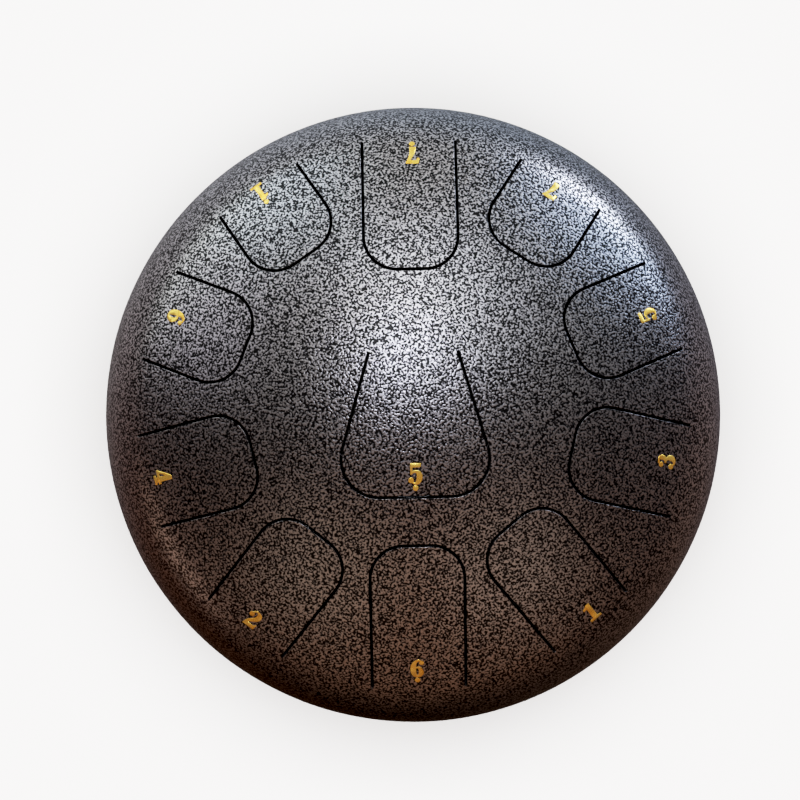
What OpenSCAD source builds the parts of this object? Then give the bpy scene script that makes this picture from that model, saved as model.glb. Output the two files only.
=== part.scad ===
// Steel tongue drum: two pressed steel domes joined by a weld at their widest circle.
// Eleven tongues are cut free in the upper dome and a sound port is cut in the lower one.
// Z is up, the floor is at z = 0, the drum's axis is x = 0, y = 0 and the player sits on the -Y side.

/* [Domes] */
// Diameter of the drum across the seam
drum_d = 254; // [240:1:300]
// Height of each dome from the seam to its crown
dome_h = 67; // [60:0.5:74]
// Outside radius of the turn that brings the dome round to the seam
rim_r = 42; // [36:0.5:48]
// Thickness of the sheet steel
wall = 1.5; // [1.3:0.05:2]
// Diameter of the sound port in the lower dome
port_d = 70; // [50:1:90]

/* [Seam weld] */
// Width of the weld where it shows
weld_w = 3; // [2:0.1:4]
// Depth of the weld in the steel
weld_depth = 1; // [0.6:0.05:1.2]

/* [Slots] */
// Width of the laser-cut slots
slot_w = 1.2; // [0.8:0.05:2]
// Distance of the slot ends of the rim tongues from the edge of the drum
slot_margin = 17; // [15:0.5:22]
// Clearance at the line where a tongue bends
root_gap = 0.03; // [0.02:0.005:0.05]

/* [Rim tongues] */
// Width of a rim tongue, between the middles of its slots
rim_tongue_w = 37.8; // [34:0.1:40]
// Radius of a rim tongue's free corners, at the middle of the slot
rim_corner_r = 13.3; // [8:0.1:16]
// Distance of the free edge of tongue low 6 from the drum's axis; it is nearest the player
edge_low_6 = 52.7; // [46:0.1:60]
// Distance of the free edge of tongue low 7 from the axis; it is farthest from the player
edge_low_7 = 57.5; // [50:0.1:62]
// Distance of the free edge of tongue 1 from the axis
edge_1 = 58.6; // [56:0.1:64]
// Distance of the free edge of tongue 2 from the axis
edge_2 = 61.6; // [58:0.1:66]
// Distance of the free edge of tongue 3 from the axis
edge_3 = 64.6; // [61:0.1:70]
// Distance of the free edge of tongue 4 from the axis
edge_4 = 66.3; // [62:0.1:72]
// Distance of the free edge of tongue 5 from the axis
edge_5 = 68.9; // [64:0.1:74]
// Distance of the free edge of tongue 6 from the axis
edge_6 = 72.4; // [66:0.1:76]
// Distance of the free edge of tongue 7 from the axis
edge_7 = 75.9; // [70:0.1:80]
// Distance of the free edge of tongue high 1 from the axis
edge_high_1 = 76.4; // [71:0.1:80]

/* [Directions of the rim tongues] */
// Angle of tongue 7 from the x axis, mirrored for tongue high 1
aim_7 = 56.3; // [55:0.1:58]
// Angle of tongue 5 from the x axis, mirrored for tongue 6
aim_5 = 22.3; // [20:0.1:24]
// Angle of tongue 3 from the x axis, mirrored for tongue 4
aim_3 = -13.2; // [-15:0.1:-12]
// Angle of tongue 1 from the x axis, mirrored for tongue 2
aim_1 = -50.7; // [-52:0.1:-49]

/* [Centre tongue, low 5] */
// Distance of its root line behind the drum's axis
centre_root_back = 24; // [20:0.5:28]
// Length from the root line to the free edge
centre_len = 57.3; // [50:0.1:60]
// Width at the root line, between the middles of the slots
centre_root_w = 35.6; // [30:0.1:42]
// Width at the free edge, as if its corners were square
centre_free_w = 69.2; // [60:0.1:72]
// Radius of its free corners, at the middle of the slot
centre_corner_r = 15.3; // [8:0.1:18]

/* [Rubber feet] */
// Radius of the circle that the feet stand on, where they meet the steel
foot_circle_r = 68; // [62:0.5:76]
// Angle of the back right foot from the x axis, mirrored for the other three
foot_aim = 45; // [35:1:55]
// Height of a foot from the steel to its lip
foot_h = 15; // [13:0.5:18]
// Radius of a foot at its lip
foot_lip_r = 9.5; // [8.8:0.1:11]
// Rounding of the lip
foot_edge_r = 3; // [2:0.1:3.5]
// Taper of a foot's side in degrees
foot_taper = 6; // [0:0.5:10]
// Thickness of rubber between the steel and the insert
foot_web = 5; // [3.5:0.25:6]
// Diameter of the recess for the screw head
foot_recess_d = 9.6; // [9.4:0.1:11]
// Depth to which the drum's weight flattens the lip
foot_flat = 0.5; // [0.3:0.05:0.8]

/* [Foot screws] */
// Diameter of the screw
screw_d = 4; // [3:0.5:4]
// Length of the screw under its head
screw_len = 14; // [13:0.5:18]
// Diameter of the pan head
screw_head_d = 7.8; // [6:0.1:8]
// Height of the pan head
screw_head_h = 2.6; // [2:0.1:3]
// Thickness of the insert in the foot
insert_t = 1; // [0.8:0.1:1.5]
// Diameter of the washer inside the drum
washer_d = 9; // [8:0.5:12]
// Thickness of the washer inside the drum
washer_t = 0.8; // [0.5:0.1:1.2]
// Width of the nut across its flats
nut_w = 7; // [5.5:0.5:8]
// Height of the nut
nut_h = 3.2; // [2.4:0.1:3.5]

/* [Hidden] */
$fn = 96;

// Overrun of every cut past the face it leaves
over = 1;
// Distance by which the centre tongue's free edge lies inside its corner arcs, so that they cross cleanly
arc_inset = 0.02;
// Radial clearance of the screw in the steel, the rubber, the insert and the washer
hole_clear = 0.25;
// Radial clearance of the screw's thread in the nut
thread_clear = 0.05;
// Radial clearance of the insert in its recess
insert_clear = 0.2;
// Width of a blade of the screw's cross recess
cross_w = 1;
// Depth of the cross recess
cross_depth = 1.4;
// Chamfer at the screw's tip and on the nut's corners
bevel = 0.4;

// Radius of the drum at its seam, and of the circle of arc centres of the rim turn
drum_r = drum_d / 2;
turn_r = drum_r - rim_r;
// Outside radius of the crown's sphere, which meets the rim turn in a tangent
crown_r = (turn_r * turn_r + dome_h * dome_h - rim_r * rim_r) / (2 * (dome_h - rim_r));
// Angle from the axis at which the crown's arc ends and the rim turn starts
turn_angle = asin(turn_r / (crown_r - rim_r));

// Angle of a foot's axis from the vertical, along the normal of the steel
foot_tilt = asin(foot_circle_r / crown_r);
// Radius of the circle through the middle of the lip's rounding
foot_lip_x = foot_lip_r - foot_edge_r;
// Height of the lower crown's centre over the floor, with the flattened lips on the floor
lower_centre_z = (crown_r + foot_h - foot_edge_r) * cos(foot_tilt)
  + foot_lip_x * sin(foot_tilt) + foot_edge_r - foot_flat;
// Height of the seam over the floor
seam_z = lower_centre_z - (crown_r - dome_h);
// Distance of the inner washers' faces from the crown's centre, where their edges meet the curved steel
washer_seat = sqrt((crown_r - wall) * (crown_r - wall) - washer_d * washer_d / 4);

// Radius from the axis to the root lines of the rim tongues
rim_root_x = drum_r - slot_margin;
// Slope of the centre tongue's sides
centre_taper = atan((centre_free_w - centre_root_w) / 2 / centre_len);
// Middle of the arc of the centre tongue's right free corner
centre_corner_x = centre_free_w / 2 - centre_corner_r * (tan(centre_taper) + 1 / cos(centre_taper));
centre_corner_y = centre_root_back - centre_len + centre_corner_r;

// Direction of each rim tongue and its free edge's distance from the axis, in the order of their pitch
LOW_6 = [-90, edge_low_6];
LOW_7 = [90, edge_low_7];
NOTE_1 = [aim_1, edge_1];
NOTE_2 = [180 - aim_1, edge_2];
NOTE_3 = [aim_3, edge_3];
NOTE_4 = [180 - aim_3, edge_4];
NOTE_5 = [aim_5, edge_5];
NOTE_6 = [180 - aim_5, edge_6];
NOTE_7 = [aim_7, edge_7];
HIGH_1 = [180 - aim_7, edge_high_1];
RIM_TONGUES = [LOW_6, LOW_7, NOTE_1, NOTE_2, NOTE_3, NOTE_4, NOTE_5, NOTE_6, NOTE_7, HIGH_1];

// Directions of the four feet: back right, back left, front left and front right
FEET = [foot_aim, 180 - foot_aim, foot_aim - 180, -foot_aim];

PAINT = [0.27, 0.27, 0.28];
TONGUE_PAINT = [0.33, 0.33, 0.34];
RUBBER = [0.06, 0.06, 0.06];
ZINC = [0.7, 0.71, 0.73];

// Half of the space under a dome whose surface lies this far inside the outer one
module dome_profile(inset) {
  arc_end_x = (crown_r - inset) * sin(turn_angle);
  intersection() {
    translate([0, dome_h - crown_r]) circle(r = crown_r - inset, $fn = 360);
    square([arc_end_x, dome_h]);
  }
  intersection() {
    translate([turn_r, 0]) circle(r = rim_r - inset);
    translate([arc_end_x, 0]) square([drum_r, dome_h]);
  }
}

// Section of the groove for the weld, whose point lies on the seam
module weld_groove() {
  flare = weld_w / 2 * (weld_depth + over) / weld_depth;
  translate([drum_r, 0]) polygon([[-weld_depth, 0], [over, -flare], [over, flare]]);
}

// A pressed dome with its crown up and its edge on z = 0, bevelled for the weld
module dome() {
  rotate_extrude($fn = 180) difference() {
    dome_profile(0);
    dome_profile(wall);
    weld_groove();
  }
}

// Plan of a rim tongue along +X, grown on all free sides and lengthened past its root line
module rim_outline(free_x, grow, past) {
  corner_r = min(rim_corner_r, (rim_root_x - free_x) / 2);
  corner_x = free_x + corner_r;
  flat_half = rim_tongue_w / 2 - corner_r;
  for (side = [-1, 1]) {
    translate([corner_x, side * flat_half]) circle(r = corner_r + grow);
  }
  translate([free_x - grow, -flat_half]) square([2 * corner_r + grow, 2 * flat_half]);
  translate([corner_x, -rim_tongue_w / 2 - grow])
    square([rim_root_x + past - corner_x, rim_tongue_w + 2 * grow]);
}

// Plan of the window that a rim tongue and its slot take out of the dome
module rim_window(free_x) {
  rim_outline(free_x, slot_w / 2, root_gap);
  for (side = [-1, 1]) {
    translate([rim_root_x, side * rim_tongue_w / 2]) circle(d = slot_w);
  }
}

// Plan of the centre tongue, grown on all free sides and lengthened past its root line
module centre_outline(grow, past) {
  arc_r = centre_corner_r + grow;
  free_y = centre_corner_y - arc_r;
  strip_w = centre_corner_x + arc_r;
  intersection() {
    union() {
      translate([-centre_corner_x, free_y + arc_inset]) square([2 * centre_corner_x, arc_r]);
      for (side = [-1, 1]) translate([side * centre_corner_x, centre_corner_y]) rotate(side * centre_taper) {
        rotate(90) circle(r = arc_r);
        translate([side * (arc_r - strip_w / 2) - strip_w / 2, 0]) square([strip_w, centre_len]);
      }
    }
    translate([-centre_free_w, free_y - over])
      square([2 * centre_free_w, centre_root_back + past - free_y + over]);
  }
}

// Plan of the window that the centre tongue and its slot take out of the dome
module centre_window() {
  centre_outline(slot_w / 2, root_gap);
  for (side = [-1, 1]) {
    translate([side * centre_root_w / 2, centre_root_back]) circle(d = slot_w);
  }
}

// Upper dome with the windows of all eleven tongues
module upper_shell() {
  color(PAINT) translate([0, 0, seam_z]) difference() {
    dome();
    linear_extrude(dome_h + over) {
      for (tongue = RIM_TONGUES) rotate(tongue[0]) rim_window(tongue[1]);
      centre_window();
    }
  }
}

// One rim tongue: the piece of the dome inside its slot
module rim_tongue(tongue) {
  color(TONGUE_PAINT) translate([0, 0, seam_z]) intersection() {
    dome();
    rotate(tongue[0]) linear_extrude(dome_h + over) rim_outline(tongue[1], -slot_w / 2, 0);
  }
}

// The centre tongue
module centre_tongue() {
  color(TONGUE_PAINT) translate([0, 0, seam_z]) intersection() {
    dome();
    linear_extrude(dome_h + over) centre_outline(-slot_w / 2, 0);
  }
}

// Lower dome with the sound port and a hole for each foot's screw
module lower_shell() {
  color(PAINT) difference() {
    translate([0, 0, seam_z]) mirror([0, 0, 1]) dome();
    translate([0, 0, seam_z - dome_h - over]) cylinder(d = port_d, h = dome_h + over);
    for (aim = FEET) on_foot(aim) {
      translate([0, 0, crown_r - wall - over])
        cylinder(d = screw_d + 2 * hole_clear, h = wall + 2 * over);
    }
  }
}

// Weld in the groove between the domes, ground flush with them
module seam_weld() {
  color(PAINT) translate([0, 0, seam_z]) rotate_extrude($fn = 180) intersection() {
    weld_groove();
    translate([turn_r, 0]) circle(r = rim_r);
  }
}

// Frame of a foot: origin at the centre of the lower crown, +Z out through the steel
module on_foot(aim) {
  translate([0, 0, lower_centre_z]) rotate([0, 180 - foot_tilt, aim]) children();
}

// Section of a foot beside its screw's axis, which is the y axis
module foot_profile() {
  lip_y = foot_h - foot_edge_r;
  side_x = foot_lip_x + foot_edge_r * cos(foot_taper);
  side_y = lip_y + foot_edge_r * sin(foot_taper);
  seat_x = side_x + (side_y + over) * tan(foot_taper);
  difference() {
    translate([0, crown_r]) {
      polygon([
        [0, -over], [seat_x, -over], [side_x, side_y], [foot_lip_x, lip_y], [foot_lip_x, foot_h], [0, foot_h]
      ]);
      translate([foot_lip_x, lip_y]) circle(r = foot_edge_r);
    }
    circle(r = crown_r, $fn = 360);
    square([screw_d / 2 + hole_clear, crown_r + foot_h]);
    translate([0, crown_r + foot_web]) square([foot_recess_d / 2, foot_h]);
  }
}

// Rubber foot with its top moulded to the dome and its lip flattened by the floor
module foot(aim) {
  color(RUBBER) intersection() {
    on_foot(aim) rotate_extrude() foot_profile();
    translate([-drum_r, -drum_r, 0]) cube([drum_d, drum_d, seam_z]);
  }
}

// Flat steel ring around the screw's axis, from a distance along it
module ring(outer_d, hole_d, from, thick) {
  translate([0, 0, from]) difference() {
    cylinder(d = outer_d, h = thick);
    translate([0, 0, -over]) cylinder(d = hole_d, h = thick + 2 * over);
  }
}

// Steel inserts on the floor of the feet's recesses
module foot_inserts() {
  color(ZINC) for (aim = FEET) on_foot(aim) {
    ring(foot_recess_d - 2 * insert_clear, screw_d + 2 * hole_clear, crown_r + foot_web, insert_t);
  }
}

// Pan head screw with its head's seat at z = 0 and its shank down
module pan_screw() {
  dome_r = (screw_head_d * screw_head_d / 4 + screw_head_h * screw_head_h) / (2 * screw_head_h);
  difference() {
    union() {
      intersection() {
        translate([0, 0, screw_head_h - dome_r]) sphere(r = dome_r);
        cylinder(d = screw_head_d, h = screw_head_h);
      }
      translate([0, 0, bevel - screw_len]) cylinder(d = screw_d, h = screw_len - bevel);
      translate([0, 0, -screw_len]) cylinder(d1 = screw_d - 2 * bevel, d2 = screw_d, h = bevel);
    }
    for (turn = [0, 90]) rotate(turn) translate([-screw_d / 2, -cross_w / 2, screw_head_h - cross_depth])
      cube([screw_d, cross_w, cross_depth + over]);
  }
}

// Screws that hold the feet, with their heads on the inserts
module foot_screws() {
  color(ZINC) for (aim = FEET) on_foot(aim) {
    translate([0, 0, crown_r + foot_web + insert_t]) pan_screw();
  }
}

// Washers between the nuts and the inside of the lower dome
module foot_washers() {
  color(ZINC) for (aim = FEET) on_foot(aim) {
    ring(washer_d, screw_d + 2 * hole_clear, washer_seat - washer_t, washer_t);
  }
}

// Hexagon nuts on the washers, with the corners of their free faces bevelled
module foot_nuts() {
  nut_corner_r = nut_w / 2 / cos(30);
  color(ZINC) for (aim = FEET) on_foot(aim) translate([0, 0, washer_seat - washer_t - nut_h]) {
    difference() {
      intersection() {
        cylinder(r = nut_corner_r, h = nut_h, $fn = 6);
        union() {
          cylinder(r1 = nut_corner_r - bevel, r2 = nut_corner_r, h = bevel);
          translate([0, 0, bevel]) cylinder(r = nut_corner_r, h = nut_h - bevel);
        }
      }
      translate([0, 0, -over]) cylinder(d = screw_d + 2 * thread_clear, h = nut_h + 2 * over);
    }
  }
}

upper_shell();
lower_shell();
seam_weld();
centre_tongue();  // tongue_low_5
rim_tongue(LOW_6);  // tongue_low_6
rim_tongue(LOW_7);  // tongue_low_7
rim_tongue(NOTE_1);  // tongue_1
rim_tongue(NOTE_2);  // tongue_2
rim_tongue(NOTE_3);  // tongue_3
rim_tongue(NOTE_4);  // tongue_4
rim_tongue(NOTE_5);  // tongue_5
rim_tongue(NOTE_6);  // tongue_6
rim_tongue(NOTE_7);  // tongue_7
rim_tongue(HIGH_1);  // tongue_high_1
foot(foot_aim - 180);  // foot_front_left
foot(-foot_aim);  // foot_front_right
foot(180 - foot_aim);  // foot_back_left
foot(foot_aim);  // foot_back_right
foot_inserts();
foot_screws();
foot_washers();
foot_nuts();
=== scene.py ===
import math
from functools import lru_cache

import bpy
import numpy as np
from bpy.props import FloatProperty, FloatVectorProperty, PointerProperty
from bpy.types import Operator, Panel, PropertyGroup
from mathutils import Matrix, Vector, geometry


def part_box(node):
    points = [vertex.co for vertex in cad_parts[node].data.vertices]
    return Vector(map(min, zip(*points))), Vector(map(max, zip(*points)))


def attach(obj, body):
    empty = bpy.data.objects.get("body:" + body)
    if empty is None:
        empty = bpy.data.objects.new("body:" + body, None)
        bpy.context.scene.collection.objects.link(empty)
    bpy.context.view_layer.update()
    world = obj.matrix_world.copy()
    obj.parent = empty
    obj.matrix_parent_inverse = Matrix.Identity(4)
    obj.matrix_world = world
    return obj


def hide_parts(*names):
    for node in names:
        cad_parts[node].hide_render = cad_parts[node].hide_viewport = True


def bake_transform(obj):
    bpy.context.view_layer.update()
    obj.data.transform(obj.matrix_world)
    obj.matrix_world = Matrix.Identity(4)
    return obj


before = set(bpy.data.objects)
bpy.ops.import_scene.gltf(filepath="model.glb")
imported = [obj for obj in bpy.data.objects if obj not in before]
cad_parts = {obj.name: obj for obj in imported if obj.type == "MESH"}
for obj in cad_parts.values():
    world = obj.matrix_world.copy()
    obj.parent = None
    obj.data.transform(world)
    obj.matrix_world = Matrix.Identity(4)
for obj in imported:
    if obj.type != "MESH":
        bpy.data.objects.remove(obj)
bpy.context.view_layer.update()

bl_info = {
    "name": "Steel Tongue Drum",
    "version": (1, 0, 0),
    "blender": (4, 5, 0),
    "location": "3D Viewport > Sidebar > Drum",
    "description": "Dresses a steel tongue drum with paint, foil numbers, rubber and a stage",
    "category": "Object",
}

WELD_LOW, WELD_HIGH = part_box("seam_weld")
SEAM_Z = (WELD_LOW.z + WELD_HIGH.z) / 2

# Fineness of the meshes: a step down the rim's turn, steps round the drum and rows between rings
RIM_STEP = math.radians(2.2)
SHELL_SIDES = 360
CROWN_ROWS = 34
WELD_SIDES = 720
WELD_ROWS = 13

# How far the sides of the weld bead reach into the steel, height and number of its grinding marks
WELD_TUCK = 0.00002
WELD_RIPPLE = 0.00005
WELD_MARKS = 236

# Rounding of the sound port's edges, as a multiple of that of the slots' edges
PORT_ROUNDING = 1.6

# Direction of each rim tongue in degrees, and its free edge's distance from the drum's axis
RIM_TONGUES = {
    "low_6": (-90.0, 0.0527),
    "low_7": (90.0, 0.0575),
    "1": (-50.7, 0.0586),
    "2": (230.7, 0.0616),
    "3": (-13.2, 0.0646),
    "4": (193.2, 0.0663),
    "5": (22.3, 0.0689),
    "6": (157.7, 0.0724),
    "7": (56.3, 0.0759),
    "high_1": (123.7, 0.0764),
}

# Digit, octave dot (below -1, none 0, above 1), middle of the number seen from above, and the direction of
# its top in degrees
NUMBERS = {
    "low_5": ("5", -1, (-0.0001, -0.0253), 90.0),
    "low_6": ("6", -1, (-0.0006, -0.1038), 90.0),
    "low_7": ("7", -1, (0.0013, 0.1056), 270.0),
    "1": ("1", 0, (0.0702, -0.0813), 129.3),
    "2": ("2", 0, (-0.0665, -0.0815), 50.7),
    "3": ("3", 0, (0.1016, -0.0213), 166.8),
    "4": ("4", 0, (-0.1019, -0.0233), 13.2),
    "5": ("5", 0, (0.0952, 0.0378), 202.3),
    "6": ("6", 0, (-0.0952, 0.0409), -22.3),
    "7": ("7", 0, (0.0578, 0.0892), 236.3),
    "high_1": ("1", 1, (-0.0599, 0.0899), -56.3),
}

# Edge of a foil number: its chamfer in digit heights, the height of its shoulder as a share of the foil,
# how far it reaches into the paint, and how far the normals lean outwards on its top and on its shoulder
FOIL_CHAMFER = 0.022
FOIL_SHOULDER = 0.45
FOIL_SUNK = 0.00003
FOIL_LEAN = 0.16
FOIL_EDGE_LEAN = 0.9

# Radius of an octave dot, and the gap from its middle to the digit, in digit heights
DOT_RADIUS = 0.13
DOT_GAP = 0.16

# Grain of the hammertone paint: its turn off the drum's axes, the features of its net, of the finer net
# and of the flecks as shares of the grain, and the levels between which a pit ends
GRAIN_TURN = (0.61, 0.47, 0.35)
NET = 0.425
FINE_NET = 0.245
FLECK = 0.12
PIT_EDGE = (0.446, 0.498)

# Depth of each finish's relief in metres
RELIEF = {
    "paint": 0.00006,
    "inner coat": 0.00004,
    "cut edge": 0.00003,
    "rubber": 0.00005,
    "zinc": 0.00001,
    "foil": 0.00080,
}

# Distance of the soft lamps from the drum in metres. For each, the direction it stands in and its height
# over the floor in degrees, its width and height in metres, and its power in watts (red, green, blue)
LAMP_DISTANCE = 1.9
LAMPS = {
    "overhead": (93, 74, 0.3, 0.3, (7.64, 7.92, 9.6)),
    "back_high": (90, 60, 0.9, 0.9, (5.7, 5.5, 4.9)),
    "back_low": (90, 50, 1.2, 0.5, (1.6, 2.0, 2.9)),
    "right_high": (60, 60, 0.9, 0.9, (1.8, 2.0, 2.4)),
    "window_back": (50, 4, 0.6, 0.25, (14.3, 15.3, 18.1)),
    "window_upper": (50, 18, 0.9, 0.5, (1.9, 2.9, 4.5)),
    "window_right": (35, 8, 0.6, 0.5, (4.3, 5.6, 7.8)),
    "left_back": (120, 22, 0.9, 0.7, (3.8, 4.7, 5.4)),
    "left_low": (140, 14, 1.2, 0.6, (3.9, 4.2, 3.9)),
    "left_high": (150, 30, 0.9, 0.9, (2.2, 2.1, 2.5)),
    "front_left_low": (210, 6, 0.9, 0.4, (1.2, 0.73, 0.52)),
    "front_left": (240, 45, 1.0, 1.0, (0.96, 0.83, 0.65)),
    "front_right": (300, 45, 1.0, 1.0, (1.2, 1.0, 0.82)),
}

# How sharply the soft glows of the room fall off. For each, its direction and height in degrees, and its
# colour
GLOW_FALL = 3.0
GLOWS = {
    "table_right": (0, -25, (0.27, 0.14, 0.09)),
    "table_back_right": (60, -25, (0.31, 0.43, 0.58)),
    "table_back_left": (120, -25, (0.82, 0.85, 0.91)),
    "table_left": (180, -25, (0.16, 0.043, 0.01)),
    "wall_back": (90, 35, (0.90, 0.82, 0.71)),
    "wall_front": (270, 35, (0.38, 0.17, 0.09)),
}

# Height over the floor and width of the lamp that lights the floor alone, in metres
FLOOR_LAMP = (3.0, 3.0)

# Brightness of the paper behind the floor
PAPER_LIGHT = 2.6

# Brightness of the scene that is black in the picture, and what the picture makes of brighter tones:
# straight in the darks and soft in the lights
BLACK = 0.0025
TONES = ((0.0, 0.0), (0.16, 0.16), (0.32, 0.32), (0.56, 0.50), (1.0, 0.70), (2.0, 0.90), (4.0, 1.0))

# Half the floor's width, and the distances from its middle over which the painted shade under the drum ends
# and the floor fades out
FLOOR_HALF = 4
PAINTED_SHADE_UNDER_DRUM = (0.04, 0.07)
FLOOR_FADE = (0.6, 2.6)

# How far the camera leans from straight above, to its side and to its front, and how far it is rolled, all
# in degrees, and the shift of its picture
CAMERA_LEAN = (-0.418, 0.517)
CAMERA_ROLL = -1.118
CAMERA_SHIFT = (-0.0166, 0.0183)


# Sizes, finishes and stage

def length(name, description, default):
    """A length that a user can change."""
    return FloatProperty(name=name, description=description, default=default, unit="LENGTH")


def colour(name, description, default):
    """A colour that a user can change."""
    return FloatVectorProperty(
        name=name, description=description, default=default, size=3, subtype="COLOR"
    )


class DrumSizes(PropertyGroup):
    """Sizes of the drum"""

    diameter: length("Diameter", "Diameter of the drum at its seam", 0.254)
    dome_height: length("Dome height", "Height of a dome over the seam", 0.067)
    rim_radius: length("Rim radius", "Outside radius of the turn at the seam", 0.042)
    wall: length("Sheet", "Thickness of the sheet steel", 0.0015)
    port: length("Sound port", "Diameter of the sound port", 0.070)
    slot: length("Slot", "Width of the slots", 0.0012)
    paint_round: length("Edge rounding", "Rounding of the painted edges", 0.00013)
    weld_width: length("Weld width", "Width of the seam weld", 0.003)
    weld_depth: length("Weld depth", "Depth of the seam weld in the steel", 0.001)
    weld_proud: length("Weld bead", "How far the ground bead stands proud", 0.00018)
    root: length("Root distance", "Distance of the rim tongues' roots from the axis", 0.110)
    tongue_width: length("Tongue width", "Width of a rim tongue", 0.0378)
    tongue_corner: length("Tongue corner", "Corner radius of a rim tongue", 0.0133)
    centre_root: length("Centre root", "Distance of the centre tongue's root behind the axis", 0.024)
    centre_length: length("Centre length", "Length of the centre tongue", 0.0573)
    centre_root_width: length("Centre root width", "Width of the centre tongue at its root", 0.0356)
    centre_free_width: length("Centre free width", "Width of the centre tongue at its free edge", 0.0692)
    centre_corner: length("Centre corner", "Corner radius of the centre tongue", 0.0153)
    digit_height: length("Digit height", "Height of a note number", 0.0086)
    foil: length("Foil", "Thickness of the number foil", 0.00014)


class DrumFinish(PropertyGroup):
    """Colours and grain of the finishes"""

    paint_light: colour(
        "Paint, light", "Colour of the light net of the hammertone paint", (0.22, 0.218, 0.225)
    )
    paint_dark: colour(
        "Paint, dark", "Colour of the dark pits of the hammertone paint", (0.001, 0.001, 0.0011)
    )
    paint_grain: length("Paint grain", "Distance between the pits of the paint", 0.0020)
    foil_colour: colour("Foil", "Colour of the number foil", (1.0, 0.67, 0.13))
    rubber_colour: colour("Rubber", "Colour of the feet", (0.018, 0.018, 0.019))
    zinc_colour: colour("Zinc", "Colour of the plated screws, nuts and washers", (0.62, 0.64, 0.67))


class DrumStage(PropertyGroup):
    """Floor, light and camera"""

    floor_colour: colour("Floor", "Colour of the floor", (0.86, 0.86, 0.86))
    floor_light: FloatVectorProperty(
        name="Floor light", description="Power in watts of the lamp that lights the floor alone",
        default=(290.0, 290.0, 290.0), size=3, unit="POWER",
    )
    room_colour: colour(
        "Room", "Colour of the room that the drum mirrors between the lamps", (0.0, 0.0, 0.0)
    )
    camera_distance: length("Camera distance", "Distance of the camera from the seam's middle", 1.5)
    camera_lens: FloatProperty(
        name="Camera lens", description="Focal length in millimetres", default=163.04, unit="CAMERA"
    )


# Geometry of the pressing

class Dome:
    """The pressed dome, as heights over the seam and normals at a distance from the drum's axis."""

    def __init__(self, sizes):
        self.edge = sizes.diameter / 2
        self.height = sizes.dome_height
        self.rim = sizes.rim_radius
        self.turn = self.edge - self.rim
        self.crown = (self.turn**2 + self.height**2 - self.rim**2) / (2 * (self.height - self.rim))
        self.drop = self.crown - self.height
        self.join_sine = self.turn / (self.crown - self.rim)

    def at(self, r, inset=0.0):
        """Height and normal (outwards, up) where the surface lies inset inside the outer one."""
        r = np.asarray(r, float)
        on_crown = r <= (self.crown - inset) * self.join_sine
        radius = np.where(on_crown, self.crown, self.rim) - inset
        middle = np.where(on_crown, 0.0, self.turn)
        rise = np.sqrt(np.maximum(radius**2 - (r - middle) ** 2, 0.0))
        return rise - np.where(on_crown, self.drop, 0.0), (r - middle) / radius, rise / radius

    def over(self, x, y):
        """Point of the outer surface over a plan point, and its normal."""
        r = math.hypot(x, y)
        rise, out, up = (float(v) for v in self.at(r))
        return Vector((x, y, rise + SEAM_Z)), Vector((x / r * out, y / r * out, up))

    def rim_arc(self, r_from, angle_to, inset, step):
        """Points (r, z) and normals down the rim's turn, from a distance to an angle from the vertical."""
        radius = self.rim - inset
        start = math.asin((r_from - self.turn) / radius)
        count = max(2, math.ceil((angle_to - start) / step))
        angles = np.linspace(start, angle_to, count + 1)
        normals = np.stack([np.sin(angles), np.cos(angles)], 1)
        return normals * radius + [self.turn, 0.0], normals


def turned(vectors):
    """Each plan vector turned a quarter left."""
    vectors = np.asarray(vectors, float)
    return np.stack([-vectors[..., 1], vectors[..., 0]], -1)


def way_to(aim, rise=0.0):
    """Direction at an angle round the drum and an angle over the floor, in degrees."""
    a, e = math.radians(aim), math.radians(rise)
    return math.cos(a) * math.cos(e), math.sin(a) * math.cos(e), math.sin(e)


def round_angles(count):
    """Equal steps round a circle."""
    return np.arange(count) * 2 * math.pi / count


def ring_at(r, z, angles):
    """Points at a distance from the drum's axis and a height, at each angle round it."""
    return np.stack([r * np.cos(angles), r * np.sin(angles), np.full(len(angles), z)], 1)


def rounded_path(corners, radius, step=0.0012, arc_step=math.radians(6)):
    """Points and directions along a plan path whose inner corners are arcs."""
    corners = [np.array(c, float) for c in corners]
    points, ways = [], []
    start = corners[0]

    def straight(end, way, last):
        count = max(1, math.ceil(np.linalg.norm(end - start) / step))
        for k in range(count + last):
            points.append(start + (end - start) * k / count)
            ways.append(way)

    for before, corner, after in zip(corners, corners[1:], corners[2:]):
        way_in = (corner - before) / np.linalg.norm(corner - before)
        way_out = (after - corner) / np.linalg.norm(after - corner)
        turn = math.atan2(way_in[0] * way_out[1] - way_in[1] * way_out[0], way_in @ way_out)
        entry = corner - way_in * radius * math.tan(abs(turn) / 2)
        straight(entry, way_in, 0)
        middle = entry + turned(way_in) * math.copysign(radius, turn)
        count = math.ceil(abs(turn) / arc_step)
        for k in range(count):
            c, s = math.cos(turn * k / count), math.sin(turn * k / count)
            spin = np.array([[c, -s], [s, c]])
            points.append(middle + spin @ (entry - middle))
            ways.append(spin @ way_in)
        start = corner + way_out * radius * math.tan(abs(turn) / 2)
    way = (corners[-1] - start) / np.linalg.norm(corners[-1] - start)
    straight(corners[-1], way, 1)
    return np.array(points), np.array(ways)


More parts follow.
